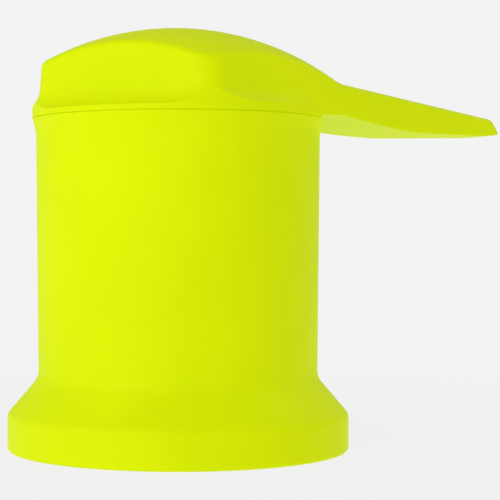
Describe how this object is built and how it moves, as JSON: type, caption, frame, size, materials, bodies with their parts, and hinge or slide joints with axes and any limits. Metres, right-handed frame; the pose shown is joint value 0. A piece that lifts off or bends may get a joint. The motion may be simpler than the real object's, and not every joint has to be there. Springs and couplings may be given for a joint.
{
  "type": "wheel nut indicator cap",
  "caption": "Push-on dust cap for a hexagonal wheel nut, with a domed head and a pointer arm that shows when the nut has turned.",
  "frame": {"origin": "on the cap's axis, in the plane of the open mouth that goes over the nut", "axes": "+Z along the axis, from the mouth to the dome; +X along the pointer"},
  "size_m": [0.081, 0.053, 0.0652],
  "materials": {
    "head_plastic": "fluorescent yellow moulded plastic, satin",
    "sleeve_plastic": "fluorescent yellow moulded plastic, satin",
    "grip_plastic": "fluorescent yellow moulded plastic, satin"
  },
  "bodies": {
    "root": {"pointer_head": "head_plastic", "sleeve": "sleeve_plastic", "grip_ring": "grip_plastic"}
  },
  "joints": []
}
